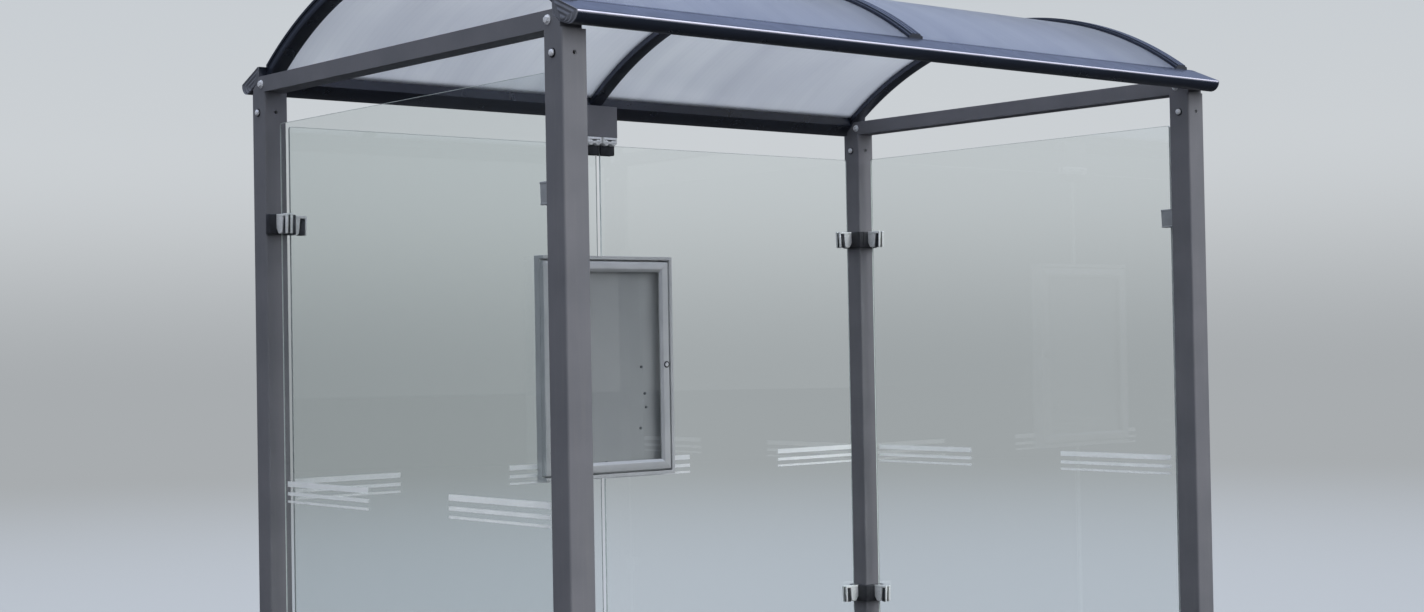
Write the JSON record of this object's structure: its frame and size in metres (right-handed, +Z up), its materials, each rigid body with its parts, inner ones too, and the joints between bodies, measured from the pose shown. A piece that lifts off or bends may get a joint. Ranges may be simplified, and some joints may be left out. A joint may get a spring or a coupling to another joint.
{
  "type": "bus shelter",
  "caption": "Open-fronted bus shelter with tube posts, clamped glass walls, an arched clear roof on ribs and a notice case with a hinged door.",
  "frame": {"origin": "on the ground, in the middle of the four posts", "axes": "+X to the right along the open front, +Y from the open front to the back wall, +Z up"},
  "size_m": [2.71, 1.788, 2.6561],
  "materials": {
    "dark_paint": "satin powder coat",
    "eave_paint": "satin powder coat",
    "clear_sheet": "translucent polycarbonate",
    "safety_glass": "clear toughened glass",
    "clamp_metal": "satin",
    "black_rubber": "matt",
    "zinc_steel": "bright zinc",
    "case_aluminium": "satin anodised",
    "panel_enamel": "satin enamel",
    "clear_acrylic": "clear acrylic",
    "lock_metal": "polished"
  },
  "bodies": {
    "shelter": {"post_front_left": "dark_paint", "post_front_right": "dark_paint", "post_rear_left": "dark_paint", "post_rear_right": "dark_paint", "foot_plate_front_left": "dark_paint", "foot_plate_front_right": "dark_paint", "foot_plate_rear_left": "dark_paint", "foot_plate_rear_right": "dark_paint", "head_inserts": "zinc_steel", "frame_bolts": "zinc_steel", "tie_beam_left": "dark_paint", "tie_beam_right": "dark_paint", "eave_front": "eave_paint", "eave_rear": "eave_paint", "eave_caps": "eave_paint", "rib_left": "eave_paint", "rib_middle": "eave_paint", "rib_right": "eave_paint", "rib_cover_left": "eave_paint", "rib_cover_middle": "eave_paint", "rib_cover_right": "eave_paint", "roof_sheet_left": "clear_sheet", "roof_sheet_right": "clear_sheet", "glass_left": "safety_glass", "glass_right": "safety_glass", "glass_back_left": "safety_glass", "glass_back_right": "safety_glass", "clamps_left": "clamp_metal", "clamps_right": "clamp_metal", "clamps_back_left": "clamp_metal", "clamps_back_right": "clamp_metal", "clamp_pads_left": "black_rubber", "clamp_pads_right": "black_rubber", "clamp_pads_back_left": "black_rubber", "clamp_pads_back_right": "black_rubber", "hanger_plate": "dark_paint", "floor_bracket": "dark_paint", "case_tray": "case_aluminium", "case_panel": "panel_enamel", "case_fixings": "zinc_steel", "case_hinges": "case_aluminium"},
    "case_door": {"case_door_hinges": "case_aluminium", "case_door_frame": "case_aluminium", "case_door_pane": "clear_acrylic", "case_lock": "lock_metal"}
  },
  "joints": [
    {"name": "case_door_hinge", "type": "hinge", "parent": "shelter", "child": "case_door", "pos_m": [-0.2758, 0.7488, 1.428], "axis": [0, 0, -1], "range_deg": [0, 100]}
  ]
}
